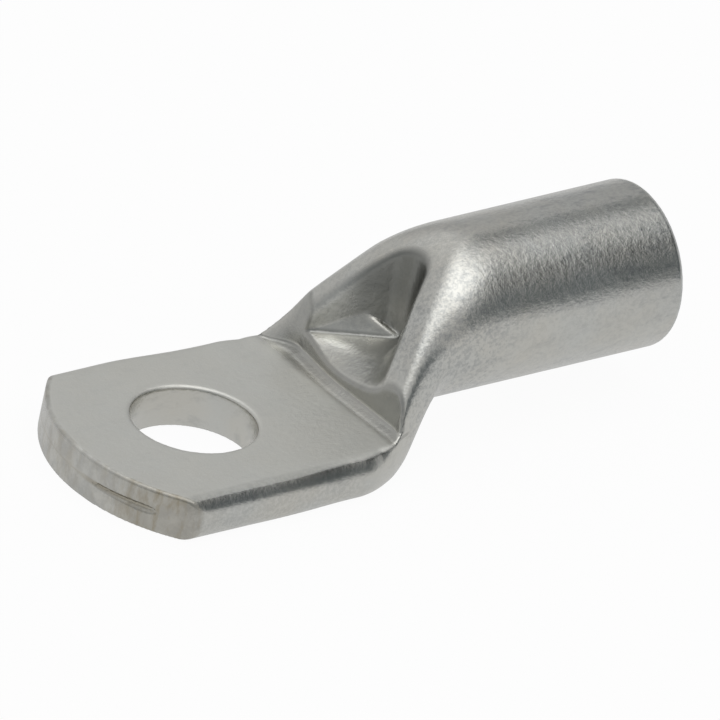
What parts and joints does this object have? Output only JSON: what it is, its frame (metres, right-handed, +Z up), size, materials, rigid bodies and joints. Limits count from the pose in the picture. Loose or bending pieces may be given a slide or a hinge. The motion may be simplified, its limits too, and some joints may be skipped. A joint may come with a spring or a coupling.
{
  "type": "tubular cable lug",
  "caption": "One-piece crimp lug: a tinned copper tube with a round barrel for a stranded conductor, pressed flat at its other end into a palm with a stud hole.",
  "frame": {"origin": "centre of the stud hole on the underside of the palm", "axes": "+Z up along the stud hole, +X along the barrel towards its open mouth, +Y across the palm"},
  "size_m": [0.0565, 0.023, 0.016],
  "materials": {
    "tinned_copper": "tumbled matt tin plating over copper"
  },
  "bodies": {
    "root": {"cable_lug": "tinned_copper"}
  },
  "joints": []
}
